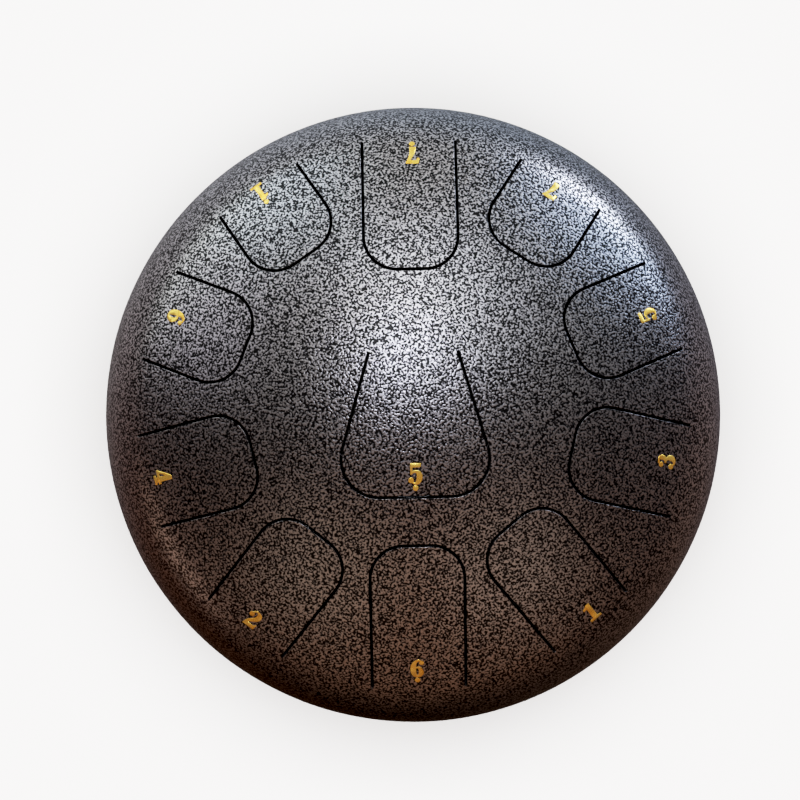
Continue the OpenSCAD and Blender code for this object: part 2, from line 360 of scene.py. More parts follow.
class Slot:
    """The middle line of a tongue's slot. The tongue lies to its left."""

    CAP_ANGLES = np.linspace(90, -90, 9)[1:-1]

    def __init__(self, corners, radius):
        self.points, self.ways = rounded_path(corners, radius)
        self.count = len(self.points)

    def ring(self, reach):
        """Closed ring at a distance from the slot's middle line, and the ring's inward directions."""
        side = turned(self.ways)
        turns = np.radians(self.CAP_ANGLES)[:, None]
        end = np.cos(turns) * self.ways[-1] + np.sin(turns) * side[-1]
        start = -(np.cos(turns) * self.ways[0] + np.sin(turns) * side[0])
        out = np.concatenate([side, end, -side[::-1], start])
        base = np.concatenate([
            self.points, np.repeat(self.points[-1:], len(end), 0),
            self.points[::-1], np.repeat(self.points[:1], len(start), 0),
        ])
        return base + out * reach, -out

    def tongue_plan(self, reach):
        """Outline of the tongue where the slot has been widened to a distance from its middle line."""
        return self.points + turned(self.ways) * reach


def inside(points, outline):
    """Which plan points lie inside a closed outline."""
    x, y = points[:, 0], points[:, 1]
    found = np.zeros(len(points), bool)
    for (x0, y0), (x1, y1) in zip(outline, np.roll(outline, -1, axis=0)):
        if y0 != y1:
            found ^= ((y0 > y) != (y1 > y)) & (x < (x1 - x0) * (y - y0) / (y1 - y0) + x0)
    return found


def drum_slots(sizes):
    """The slot of each tongue, by the tongue's name."""
    half, slots = sizes.tongue_width / 2, {}
    for name, (aim, free) in RIM_TONGUES.items():
        c, s, _ = way_to(aim)
        plan = [(sizes.root, half), (free, half), (free, -half), (sizes.root, -half)]
        slots[name] = Slot([(x * c - y * s, x * s + y * c) for x, y in plan], sizes.tongue_corner)
    back, front = sizes.centre_root, sizes.centre_root - sizes.centre_length
    root_half, free_half = sizes.centre_root_width / 2, sizes.centre_free_width / 2
    plan = [(-root_half, back), (-free_half, front), (free_half, front), (root_half, back)]
    slots["low_5"] = Slot(plan, sizes.centre_corner)
    return slots


class Plan:
    """The top of the drum from above, cut into triangles that follow the slots and the tongues' roots.

    The slots' edges end in narrow bands that are rounded over, so that the paint's edge catches light.
    """

    # The plan's edge and the steps along it, the distance between points of the grid, that between its rows
    # as a share of it, how far it keeps from the edge and from other points as shares of it, a step along a
    # root, and the slopes of the rounded bands
    REACH = 0.114
    SECTORS = 480
    PITCH = 0.0024
    ROW_RATIO = math.sqrt(0.75)
    EDGE_CLEAR = 0.6
    POINT_CLEAR = 0.55
    ROOT_STEP = 0.0015
    BAND = np.radians([60.0, 30.0, 0.0])

    def __init__(self, sizes):
        self.round = sizes.paint_round
        half = sizes.slot / 2
        slots = drum_slots(sizes)
        rings = {n: slot.ring(half + self.round) for n, slot in slots.items()}
        xy, edges = [], []

        def chain(points, closed, ends=()):
            first = len(xy)
            xy.extend(points)
            row = list(range(first, len(xy)))
            row = row + [row[0]] if closed else [ends[0], *row, ends[1]]
            edges.extend(zip(row, row[1:]))
            return first

        starts = {n: chain(ring, True) for n, (ring, _) in rings.items()}
        for n, slot in slots.items():
            a, b = starts[n], starts[n] + slot.count - 1
            count = math.ceil(np.linalg.norm(xy[b] - xy[a]) / self.ROOT_STEP)
            chain([xy[a] + (xy[b] - xy[a]) * k / count for k in range(1, count)], False, (a, b))
        self.rim = chain(ring_at(self.REACH, 0.0, round_angles(self.SECTORS))[:, :2], True)
        xy.extend(self._grid(np.array(xy[:self.rim]), rings))

        made = geometry.delaunay_2d_cdt([Vector(p) for p in xy], edges, [], 0, 1e-8)
        if len(made[0]) != len(xy):
            raise RuntimeError("The plan's outlines cross or meet where they shouldn't")
        order = [source[0] for source in made[3]]
        faces = np.array([[order[i] for i in face] for face in made[2]])
        xy = np.array(xy)
        middles = xy[faces].mean(1)
        keep = np.ones(len(faces), bool)
        owner = np.full(len(faces), "", object)
        for n, slot in slots.items():
            keep &= ~inside(middles, rings[n][0])
            owner[inside(middles, slot.tongue_plan(half + self.round))] = n
        self.faces = [tuple(f) for f in faces[keep]]
        self.owner = list(owner[keep])
        self.lean = np.zeros((len(xy), 2))
        self.tip = np.full(len(xy), math.pi / 2)
        self.xy = xy
        for n, slot in slots.items():
            self._round_over(n, slot, half, starts[n], len(rings[n][0]))

    def _grid(self, fixed, rings):
        """Points of an even grid, clear of the fixed points, the slots and the plan's edge."""
        rows = math.ceil(self.REACH / (self.PITCH * self.ROW_RATIO))
        steps = np.arange(-rows, rows + 1)
        gx, gy = np.meshgrid(steps * self.PITCH, steps * self.PITCH * self.ROW_RATIO)
        gx = gx + (steps[:, None] % 2) * self.PITCH / 2
        grid = np.stack([gx.ravel(), gy.ravel()], 1)
        grid = grid[np.hypot(grid[:, 0], grid[:, 1]) < self.REACH - self.PITCH * self.EDGE_CLEAR]
        near = np.array([np.min(np.sum((fixed - p) ** 2, 1)) for p in grid])
        grid = grid[near > (self.PITCH * self.POINT_CLEAR) ** 2]
        for ring, _ in rings.values():
            grid = grid[~inside(grid, ring)]
        return grid

    def _round_over(self, name, slot, half, start, count):
        """Adds the rounded band round one slot."""
        outer = np.arange(start, start + count)
        for angle in self.BAND:
            ring, inward = slot.ring(half + self.round * (1 - math.cos(angle)))
            inner = np.arange(len(self.xy), len(self.xy) + count)
            self.xy = np.concatenate([self.xy, ring])
            self.lean = np.concatenate([self.lean, inward])
            self.tip = np.concatenate([self.tip, np.full(count, angle)])
            for k in range(count):
                m = (k + 1) % count
                self.faces.append((outer[k], inner[k], inner[m], outer[m]))
                self.owner.append(name if k < slot.count - 1 else "")
            outer = inner


@lru_cache(maxsize=1)
def plan_for(key):
    """The plan, worked out once for the upper shell and all the tongues."""
    return Plan(bpy.context.scene.drum_sizes)


def drum_plan(sizes):
    """The plan for these sizes."""
    return plan_for(tuple(round(getattr(sizes, p), 9) for p in sizes.__annotations__))


class Skin:
    """A mesh with a normal for each corner of a face, so that it shades smoothly up to its edges."""

    def __init__(self):
        self.co, self.faces, self.normals, self.slots = [], [], [], []

    def add(self, points):
        """Adds points and returns their numbers."""
        first = len(self.co)
        self.co.extend(tuple(float(v) for v in p) for p in points)
        return list(range(first, len(self.co)))

    def face(self, corners, normals=None, slot=0):
        """Adds a face, which is flat if no normals are given."""
        if normals is None:
            p = [Vector(self.co[i]) for i in corners]
            n = (p[1] - p[0]).cross(p[2] - p[0]) if len(p) == 3 else (p[2] - p[0]).cross(p[3] - p[1])
            normals = [n.normalized()] * len(corners)
        self.faces.append(tuple(int(i) for i in corners))
        self.normals.extend(tuple(float(v) for v in n) for n in normals)
        self.slots.append(slot)

    def band(self, upper, lower, upper_n=None, lower_n=None, slot=0):
        """Adds the faces between two rings."""
        for i in range(len(upper)):
            j = (i + 1) % len(upper)
            normals = None if upper_n is None else (upper_n[i], lower_n[i], lower_n[j], upper_n[j])
            self.face((upper[i], lower[i], lower[j], upper[j]), normals, slot)

    def spin(self, runs, count, first=None, last=None, closed=False):
        """Turns runs of (points, normals, material slot) round the drum's axis.

        The runs follow on from each other. A point is (r, z), and the surface's outside lies to the left of
        the way along the runs. first and last are rings of points that are there already.
        """
        angles = round_angles(count)
        opening = before = first
        for number, (points, normals, slot) in enumerate(runs):
            row, row_n = [], [ring_at(out, up, angles) for out, up in np.asarray(normals, float)]
            for k, (r, z) in enumerate(points):
                if k == 0 and before is not None:
                    ring = before
                elif number == len(runs) - 1 and k == len(points) - 1 and (last or closed):
                    ring = last or opening
                else:
                    ring = self.add(ring_at(r, z, angles))
                if opening is None:
                    opening = ring
                row.append(ring)
            for rings in zip(row, row[1:], row_n, row_n[1:]):
                self.band(*rings, slot)
            before = row[-1]

    def build(self, name, materials):
        """Makes the object."""
        mesh = bpy.data.meshes.new(name)
        mesh.from_pydata(self.co, [], self.faces)
        for m in materials:
            mesh.materials.append(m)
        mesh.polygons.foreach_set("material_index", self.slots)
        mesh.polygons.foreach_set("use_smooth", [True] * len(self.faces))
        mesh.normals_split_custom_set(self.normals)
        mesh.update()
        made = bpy.data.objects.new(name, mesh)
        bpy.context.scene.collection.objects.link(made)
        return made


def sheet_skin(sizes, plan, dome, owner):
    """The solid sheet over the plan faces of one owner: outer face, inner face and cut walls."""
    skin = Skin()
    faces = [f for f, o in zip(plan.faces, plan.owner) if o == owner]
    used = np.unique(np.concatenate([np.array(f) for f in faces]))
    place = {int(v): k for k, v in enumerate(used)}
    xy, tip, lean = plan.xy[used], plan.tip[used], plan.lean[used]
    r = np.hypot(xy[:, 0], xy[:, 1])
    away = xy / np.maximum(r, 1e-9)[:, None]
    top, out, up = dome.at(r)
    steep = np.column_stack([away * out[:, None], up])
    wall = np.column_stack([lean, np.zeros(len(lean))])
    bent = steep * np.sin(tip)[:, None] + wall * np.cos(tip)[:, None]
    outer_n = bent / np.linalg.norm(bent, axis=1)[:, None]
    low, out, up = dome.at(r, sizes.wall)
    inner_n = -np.column_stack([away * out[:, None], up])
    top = top - plan.round * (1 - np.sin(tip))
    outer = skin.add(np.column_stack([xy, top + SEAM_Z]))
    inner = skin.add(np.column_stack([xy, low + SEAM_Z]))
    open_edges = {}
    for f in faces:
        ids = [place[int(v)] for v in f]
        skin.face([outer[k] for k in ids], [outer_n[k] for k in ids], 0)
        skin.face([inner[k] for k in reversed(ids)], [inner_n[k] for k in reversed(ids)], 1)
        for a, b in zip(ids, ids[1:] + ids[:1]):
            if open_edges.pop((b, a), None) is None:
                open_edges[(a, b)] = True
    rim = range(plan.rim, plan.rim + plan.SECTORS)
    for a, b in open_edges:
        if used[a] not in rim or used[b] not in rim:
            skin.face((outer[b], outer[a], inner[a], inner[b]), None, 2)
    if owner == "":
        rim = [place[v] for v in rim]
        runs = seam_runs(sizes, dome, Plan.REACH, Plan.REACH)
        runs = [(points + [0.0, SEAM_Z], normals, slot) for points, normals, slot in runs]
        skin.spin(runs, len(rim), first=[outer[k] for k in rim], last=[inner[k] for k in rim])
    return skin


def seam_runs(sizes, dome, outer_from, inner_from):
    """Runs over the seam: down the rim's turn, into the weld's groove, and back up the sheet's inside."""
    groove = math.acos(sizes.weld_width / 2 / dome.rim)
    down, down_n = dome.rim_arc(outer_from, groove, 0.0, RIM_STEP)
    back, back_n = dome.rim_arc(inner_from, math.pi / 2, sizes.wall, RIM_STEP)
    root = np.array([dome.edge - sizes.weld_depth, 0.0])
    slope_n = turned(down[-1] - root) / np.linalg.norm(root - down[-1])
    slope_n = slope_n * np.sign(-slope_n[1])
    return [
        (down, down_n, 0),
        (np.array([down[-1], root]), [slope_n] * 2, 2),
        (np.array([root, back[-1]]), [(0.0, -1.0)] * 2, 2),
        (back[::-1], -back_n[::-1], 1),
    ]


# Materials

class Term:
    """A socket in a shader expression. Its operators add Math nodes, or Vector Math nodes for a vector."""

    def __init__(self, graph, socket):
        self.graph, self.socket = graph, socket

    def _join(self, operation, *parts):
        if any(isinstance(p, Term) and p.socket.type in ("VECTOR", "RGBA") for p in parts):
            made = self.graph.node("ShaderNodeVectorMath", {"operation": operation}, *parts)
            return made["Vector"]
        return self.graph.node("ShaderNodeMath", {"operation": operation}, *parts)["Value"]

    def __add__(self, other):
        return self._join("ADD", self, other)

    def __radd__(self, other):
        return self._join("ADD", other, self)

    def __sub__(self, other):
        return self._join("SUBTRACT", self, other)

    def __rsub__(self, other):
        return self._join("SUBTRACT", other, self)

    def __mul__(self, other):
        return self._join("MULTIPLY", self, other)

    def __rmul__(self, other):
        return self._join("MULTIPLY", other, self)

    def __pow__(self, other):
        return self._join("POWER", self, other)

    def most(self, other):
        """The larger of two values."""
        return self._join("MAXIMUM", self, other)

    def ramp(self, low, high):
        """0 below low, 1 above high and smooth between them."""
        made = self.graph.node(
            "ShaderNodeMapRange", {"interpolation_type": "SMOOTHSTEP"},
            Value=self, From_Min=low, From_Max=high,
        )
        return made["Result"]

    def mix(self, at_zero, at_one):
        """Colour between two, by this value."""
        made = self.graph.node(
            "ShaderNodeMix", {"data_type": "RGBA", "clamp_factor": True},
            **{"0": self, "6": at_zero, "7": at_one},
        )
        return made["2"]


class Node:
    """A node whose outputs are read by name or number."""

    def __init__(self, graph, node):
        self.graph, self.node = graph, node

    def __getitem__(self, key):
        key = int(key) if key.isdigit() else key
        return Term(self.graph, self.node.outputs[key])


class Graph:
    """The node tree of a material or of the world."""

    def __init__(self, owner):
        self.owner = owner
        owner.use_nodes = True
        self.tree = owner.node_tree
        self.tree.nodes.clear()
        self.coordinates = self.node("ShaderNodeTexCoord", {})
        self.place = self.coordinates["Object"]

    def node(self, kind, settings, *values, **named):
        """Adds a node: its settings first, then its sockets' values or links, in order or by name."""
        made = self.tree.nodes.new(kind)
        for key, value in settings.items():
            setattr(made, key, value)
        inputs = dict(enumerate(values))
        inputs.update((int(k) if k.isdigit() else k.replace("_", " "), v) for k, v in named.items())
        for key, value in inputs.items():
            socket = made.inputs[key]
            if isinstance(value, Term):
                self.tree.links.new(value.socket, socket)
            elif hasattr(value, "__len__"):
                size = len(socket.default_value)
                socket.default_value = (*value, 1.0)[:size]
            else:
                socket.default_value = value
        return Node(self, made)

    def noise(self, grain, detail, roughness):
        """Noise between 0 and 1 whose features are about a grain apart."""
        made = self.node(
            "ShaderNodeTexNoise", {}, Vector=self.place, Scale=1.0 / grain, Detail=detail,
            Roughness=roughness,
        )
        return made["Fac"]

    def bump(self, height, depth):
        """Normal of a surface raised by height, from 0 to 1, times a depth in metres."""
        return self.node("ShaderNodeBump", {}, Height=height, Distance=depth, Strength=1.0)["Normal"]

    def surface(self, **sockets):
        """Finishes the material with one principled shader."""
        shader = self.node("ShaderNodeBsdfPrincipled", {}, **sockets)["BSDF"]
        self.node("ShaderNodeOutputMaterial", {}, Surface=shader)
        return self.owner


def hammertone(finish):
    """Hammertone enamel: a light metallic net round dark glossy pits about two millimetres apart."""
    g = Graph(bpy.data.materials.new("hammertone_paint"))
    grain = finish.paint_grain
    # Turned off the drum's axes, so that the noise shows no rows.
    g.place = g.node(
        "ShaderNodeVectorRotate", {"rotation_type": "EULER_XYZ"}, Vector=g.place, Rotation=GRAIN_TURN
    )["Vector"]
    net = g.noise(grain * NET, 0.0, 0.5)
    level = net + (g.noise(grain * FINE_NET, 0.0, 0.5) - 0.5) * 0.42
    pit = 1.0 - level.ramp(*PIT_EDGE)
    fleck = g.noise(grain * FLECK, 2.0, 0.6)
    dull = [c * 0.62 for c in finish.paint_light]
    bright = [min(1.0, c * 1.85) for c in finish.paint_light]
    light = (level + (fleck - 0.5) * 0.12).ramp(0.47, 0.70).mix(dull, bright)
    height = net.ramp(0.20, 0.80) + (fleck - 0.5) * 0.02
    return g.surface(
        Base_Color=pit.mix(light, finish.paint_dark),
        Metallic=0.96 - pit * 0.96,
        Roughness=0.29 + (fleck - 0.5) * 0.14,
        Specular_IOR_Level=0.12,
        Normal=g.bump(height, RELIEF["paint"]),
    )


def inner_coat(finish):
    """Inside of the drum: thin dark overspray on bare pressed steel."""
    g = Graph(bpy.data.materials.new("inner_coat"))
    cloud = g.noise(0.012, 4.0, 0.6)
    speck = g.noise(0.0009, 2.0, 0.5).ramp(0.45, 0.62)
    steel = cloud.ramp(0.35, 0.7).mix((0.035, 0.034, 0.034), (0.065, 0.062, 0.060))
    return g.surface(
        Base_Color=speck.mix(steel, (0.02, 0.02, 0.02)),
        Metallic=0.35,
        Roughness=0.62 + (cloud - 0.5) * 0.2,
        Normal=g.bump(speck, RELIEF["inner coat"]),
    )


def cut_edge():
    """Walls of the laser cuts: oxidised steel with fine drag lines."""
    g = Graph(bpy.data.materials.new("cut_edge"))
    lines = g.noise(0.00035, 2.0, 0.5)
    return g.surface(
        Base_Color=lines.ramp(0.3, 0.7).mix((0.010, 0.010, 0.010), (0.028, 0.026, 0.025)),
        Metallic=0.5,
        Roughness=0.55,
        Normal=g.bump(lines, RELIEF["cut edge"]),
    )


def rubber(finish):
    """Moulded black rubber with a fine grain and a little dust."""
    g = Graph(bpy.data.materials.new("foot_rubber"))
    grain = g.noise(0.0006, 3.0, 0.6)
    dust = g.noise(0.006, 4.0, 0.65).ramp(0.5, 0.8)
    dusty = [c + 0.008 for c in finish.rubber_colour]
    return g.surface(
        Base_Color=dust.mix(finish.rubber_colour, dusty),
        Roughness=0.62 + dust * 0.15 + (grain - 0.5) * 0.1,
        Normal=g.bump(grain, RELIEF["rubber"]),
        Specular_IOR_Level=0.20,
    )


def zinc(finish):
    """Bright zinc plate with clouded polish and fine turning marks."""
    g = Graph(bpy.data.materials.new("zinc_steel"))
    cloud = g.noise(0.002, 3.0, 0.6)
    fine = g.noise(0.00025, 2.0, 0.5)
    dark = [c * 0.78 for c in finish.zinc_colour]
    return g.surface(
        Base_Color=cloud.ramp(0.3, 0.75).mix(dark, finish.zinc_colour),
        Metallic=1.0,
        Roughness=0.27 + (cloud - 0.5) * 0.2 + (fine - 0.5) * 0.1,
        Normal=g.bump(fine, RELIEF["zinc"]),
    )


def gold_foil(finish):
    """Satin gold foil, slightly uneven where it lies over the paint."""
    g = Graph(bpy.data.materials.new("gold_foil"))
    wave = g.noise(0.0050, 1.0, 0.4)
    fine = g.noise(0.0003, 2.0, 0.5)
    red, green, blue = finish.foil_colour
    deep = (red, green * 0.78, blue * 0.52)
    return g.surface(
        Base_Color=wave.ramp(0.3, 0.7).mix(deep, finish.foil_colour),
        Metallic=0.68,
        Roughness=0.27 + (fine - 0.5) * 0.12,
        Normal=g.bump(wave + fine * 0.02, RELIEF["foil"]),
    )


def floor_card(stage):
    """Pale card with a painted shade under the drum, fading out far from it."""
    g = Graph(bpy.data.materials.new("floor_card"))
    cloud = g.noise(0.6, 3.0, 0.5)
    dim = [c * 0.985 for c in stage.floor_colour]
    pale = cloud.mix(dim, stage.floor_colour)
    away = g.node("ShaderNodeVectorMath", {"operation": "LENGTH"}, g.place)["Value"]
    return g.surface(
        # The near-black disc under the drum is painted shade, standing in for the shadow there.
        Base_Color=away.ramp(*PAINTED_SHADE_UNDER_DRUM).mix((0.02, 0.02, 0.02), pale),
        Roughness=0.9,
        Specular_IOR_Level=0.1,
        Alpha=1.0 - away.ramp(*FLOOR_FADE),
    )


def soft_tones(view):
    """Sets the picture's tone curve."""
    white = TONES[-1][0]
    view.use_curve_mapping = True
    curves = view.curve_mapping
    curves.black_level = (BLACK, BLACK, BLACK)
    curves.white_level = (white, white, white)
    points = curves.curves[3].points
    for _ in TONES[2:]:
        points.new(0.5, 0.5)
    for point, (scene_tone, picture_tone) in zip(points, TONES):
        point.location = (scene_tone / white, picture_tone)
    curves.update()


def room(stage):
    """The room round the stage: dim and warm, with a few soft glows. The camera sees it as pale paper."""
    g = Graph(bpy.data.worlds.new("room"))
    way = g.coordinates["Generated"]
    light = g.node("ShaderNodeCombineColor", {}, *stage.room_colour)["Color"]
    for aim, rise, power in GLOWS.values():
        near = g.node("ShaderNodeVectorMath", {"operation": "DOT_PRODUCT"}, way, way_to(aim, rise))["Value"]
        near = near.most(0.0) ** GLOW_FALL
        light = light + near.mix((0, 0, 0), power)
    dim = g.node("ShaderNodeBackground", {}, Color=light)["Background"]
    paper = g.node("ShaderNodeBackground", {}, Color=stage.floor_colour, Strength=PAPER_LIGHT)["Background"]
    seen = g.node("ShaderNodeLightPath", {})["Is Camera Ray"]
    shown = g.node("ShaderNodeMixShader", {}, seen, dim, paper)["Shader"]
    g.node("ShaderNodeOutputWorld", {}, Surface=shown)
    return g.owner


@lru_cache(maxsize=None)
def material(name):
    """A finish of the drum, made once."""
    finish = bpy.context.scene.drum_finish
    makers = {
        "hammertone": hammertone, "inner": inner_coat, "rubber": rubber, "zinc": zinc, "foil": gold_foil,
    }
    return makers[name](finish) if name in makers else cut_edge()


def sheet_materials():
    """Materials of a sheet's outside, inside and cut walls."""
    return [material("hammertone"), material("inner"), material("cut")]


# Note numbers

def stroke(*points, steps=7):
    """Outline of a stroke through points, each with half the stroke's width there."""
    points = np.array(points, float)
    row = np.concatenate([[2 * points[0] - points[1]], points, [2 * points[-1] - points[-2]]])
    row[[0, -1], 2] = points[[0, -1], 2]
    path = []
    for k in range(len(points) - 1):
        for t in np.arange(steps) / steps:
            basis = 0.5 * np.array([
                -t + 2 * t**2 - t**3, 2 - 5 * t**2 + 3 * t**3, t + 4 * t**2 - 3 * t**3, t**3 - t**2,
            ])
            path.append(basis @ row[k:k + 4])
    path = np.array([*path, points[-1]])
    line, half = path[:, :2], path[:, 2:]
    side = turned(np.gradient(line, axis=0))
    side = side / np.linalg.norm(side, axis=1)[:, None] * half
    return np.concatenate([line - side, (line + side)[::-1]])


def ball(x, y, r, sides=20):
    """Outline of a round end or dot."""
    return ring_at(r, 0.0, round_angles(sides))[:, :2] + [x, y]


def glyph(digit):
    """Outlines of a heavy slab digit with ball ends, one high. They may overlap."""
    if digit == "1":
        return [
            [(-0.13, 0), (0.13, 0), (0.13, 1), (-0.04, 1), (-0.13, 0.93)],
            [(-0.31, 0), (0.31, 0), (0.31, 0.13), (-0.31, 0.13)],
            [(-0.29, 0.74), (-0.04, 0.76), (-0.03, 1.0), (-0.09, 0.98), (-0.16, 0.90), (-0.29, 0.87)],
        ]
    if digit == "2":
        return [
            stroke(
                (-0.17, 0.72, 0.035), (-0.11, 0.91, 0.045), (0.03, 0.945, 0.055), (0.17, 0.84, 0.115),
                (0.18, 0.66, 0.13), (0.05, 0.48, 0.10), (-0.12, 0.32, 0.08), (-0.24, 0.12, 0.06),
            ),
            ball(-0.19, 0.71, 0.13),
            [
                (-0.32, 0.0), (0.29, 0.0), (0.33, 0.31), (0.27, 0.31), (0.20, 0.20), (-0.10, 0.21),
                (-0.22, 0.20), (-0.31, 0.08),
            ],
        ]
    if digit == "3":
        return [
            stroke(
                (-0.17, 0.80, 0.035), (-0.10, 0.92, 0.045), (0.03, 0.945, 0.055), (0.14, 0.86, 0.11),
                (0.15, 0.70, 0.11), (0.05, 0.57, 0.07), (-0.08, 0.54, 0.045),
            ),
            stroke(
                (-0.08, 0.54, 0.045), (0.09, 0.52, 0.06), (0.19, 0.40, 0.115), (0.19, 0.22, 0.13),
                (0.09, 0.085, 0.09), (-0.04, 0.055, 0.05), (-0.17, 0.14, 0.035),
            ),
            ball(-0.18, 0.77, 0.12),
            ball(-0.19, 0.20, 0.13),
        ]
    if digit == "4":
        return [
            stroke((0.08, 0.96, 0.065), (-0.10, 0.64, 0.06), (-0.26, 0.30, 0.055)),
            [(-0.34, 0.21), (0.33, 0.21), (0.33, 0.35), (-0.34, 0.35)],
            [(-0.02, 0.0), (0.22, 0.0), (0.22, 1.0), (0.05, 1.0), (-0.02, 0.86)],
            [(-0.12, 0.0), (0.32, 0.0), (0.32, 0.12), (-0.12, 0.12)],
        ]
    if digit == "5":
        return [
            [(-0.22, 1.0), (-0.25, 0.80), (0.17, 0.80), (0.26, 0.84), (0.27, 1.0)],
            [(-0.23, 0.98), (-0.13, 0.90), (-0.14, 0.47), (-0.24, 0.47)],
            stroke(
                (-0.20, 0.51, 0.04), (-0.08, 0.60, 0.055), (0.06, 0.60, 0.075), (0.17, 0.50, 0.12),
                (0.19, 0.31, 0.135), (0.11, 0.115, 0.10), (-0.03, 0.05, 0.05), (-0.17, 0.12, 0.035),
            ),
            ball(-0.20, 0.20, 0.13),
        ]
    if digit == "6":
        return [
            stroke(
                (0.18, 0.87, 0.035), (0.08, 0.945, 0.05), (-0.08, 0.87, 0.08), (-0.18, 0.66, 0.125),
                (-0.19, 0.36, 0.135), (-0.13, 0.15, 0.11), (0.01, 0.055, 0.06), (0.14, 0.15, 0.105),
                (0.18, 0.32, 0.125), (0.12, 0.49, 0.10),
            ),
            stroke((0.18, 0.32, 0.125), (0.12, 0.49, 0.10), (0.0, 0.56, 0.055), (-0.12, 0.49, 0.04)),
            ball(0.20, 0.81, 0.115),
        ]
    return [
        [
            (-0.30, 1.0), (-0.33, 0.68), (-0.23, 0.66), (-0.18, 0.80), (0.18, 0.80), (0.31, 0.88),
            (0.31, 1.0),
        ],
        stroke((0.24, 0.92, 0.06), (0.10, 0.66, 0.085), (0.0, 0.36, 0.125), (-0.03, 0.02, 0.155)),
    ]


def number_plan(digit, dot):
    """Points and triangles of a number's outline, in digit heights about the number's middle."""
    shapes = [np.array(s, float) for s in glyph(digit)]
    if dot:
        shapes.append(ball(0.0, 1 + DOT_GAP if dot > 0 else -DOT_GAP, DOT_RADIUS))
    low = min(s[:, 1].min() for s in shapes)
    high = max(s[:, 1].max() for s in shapes)
    shapes = [s - [0.0, (low + high) / 2] for s in shapes]
    points, edges = [], []
    for s in shapes:
        first = len(points)
        points.extend(s)
        row = list(range(first, len(points))) + [first]
        edges.extend(zip(row, row[1:]))
    made = geometry.delaunay_2d_cdt([Vector(p) for p in points], edges, [], 0, 1e-6)
    xy = np.array([tuple(v) for v in made[0]])
    faces = np.array([tuple(f) for f in made[2]])
    middles = xy[faces].mean(1)
    keep = np.zeros(len(faces), bool)
    for s in shapes:
        keep |= inside(middles, s)
    return xy, [tuple(f) for f in faces[keep]]


def number_skin(sizes, dome, digit, dot, middle, up_way):
    """A foil number laid on the dome, with a small chamfer round its edge."""
    xy, faces = number_plan(digit, dot)
    base, normal = dome.over(*middle)
    top_way = Vector(way_to(up_way))
    top_way = (top_way - normal * top_way.dot(normal)).normalized()
    right_way = top_way.cross(normal)

    edges = dict.fromkeys((p, q) for f in faces for p, q in zip(f, f[1:] + f[:1]))
    border = [(p, q) for p, q in edges if (q, p) not in edges]
    pull = np.zeros_like(xy)
    for p, q in border:
        way = xy[q] - xy[p]
        side = turned(way / max(np.linalg.norm(way), 1e-9))
        pull[p] += side
        pull[q] += side
    size = np.linalg.norm(pull, axis=1)
    pull[size > 0] /= size[size > 0][:, None]

    def lay(plan, lift):
        """The plan's points at a height over the dome, and the dome's normals there."""
        laid, normals = [], []
        for x, y in plan:
            p = base + (right_way * x + top_way * y) * sizes.digit_height
            point, n = dome.over(p.x, p.y)
            laid.append(point + n * lift)
            normals.append(n)
        return laid, normals

    skin = Skin()
    top, normals = lay(xy + pull * FOIL_CHAMFER, sizes.foil)
    shoulder, _ = lay(xy, sizes.foil * FOIL_SHOULDER)
    foot, _ = lay(xy, -FOIL_SUNK)
    top, shoulder, foot = skin.add(top), skin.add(shoulder), skin.add(foot)
    off = [-(right_way * x + top_way * y) for x, y in pull]
    pillow = [(n + o * FOIL_LEAN).normalized() for n, o in zip(normals, off)]
    edge = [(n + o * FOIL_EDGE_LEAN).normalized() for n, o in zip(normals, off)]
    for f in faces:
        skin.face([top[i] for i in f], [pillow[i] for i in f])
        skin.face([foot[i] for i in reversed(f)])
    for p, q in border:
        skin.face((top[q], top[p], shoulder[p], shoulder[q]), (pillow[q], pillow[p], edge[p], edge[q]))
        skin.face((shoulder[q], shoulder[p], foot[p], foot[q]))
    return skin


# Pieces and stage

def bend_with(piece):
    """Bakes the piece's placement into its mesh."""
    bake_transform(piece)


class DRUM_OT_upper_shell(Operator):
    """Make the painted upper shell with its slots"""

    bl_idname = "drum.upper_shell"
    bl_label = "Upper Shell"

    def execute(self, context):
        sizes = context.scene.drum_sizes
        skin = sheet_skin(sizes, drum_plan(sizes), Dome(sizes), "")
        piece = skin.build("upper_shell_skin", sheet_materials())
        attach(piece, "drum")
        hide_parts("upper_shell")
        return {"FINISHED"}


class DRUM_OT_tongues(Operator):
    """Make the painted tongues, which meet the upper shell at their roots"""

    bl_idname = "drum.tongues"
    bl_label = "Tongues"

    def execute(self, context):
        sizes = context.scene.drum_sizes
        plan, dome = drum_plan(sizes), Dome(sizes)
        for name in ["low_5", *RIM_TONGUES]:
            skin = sheet_skin(sizes, plan, dome, name)
            piece = skin.build(f"tongue_{name}_skin", sheet_materials())
            bend_with(piece)
            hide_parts("tongue_" + name)
        return {"FINISHED"}


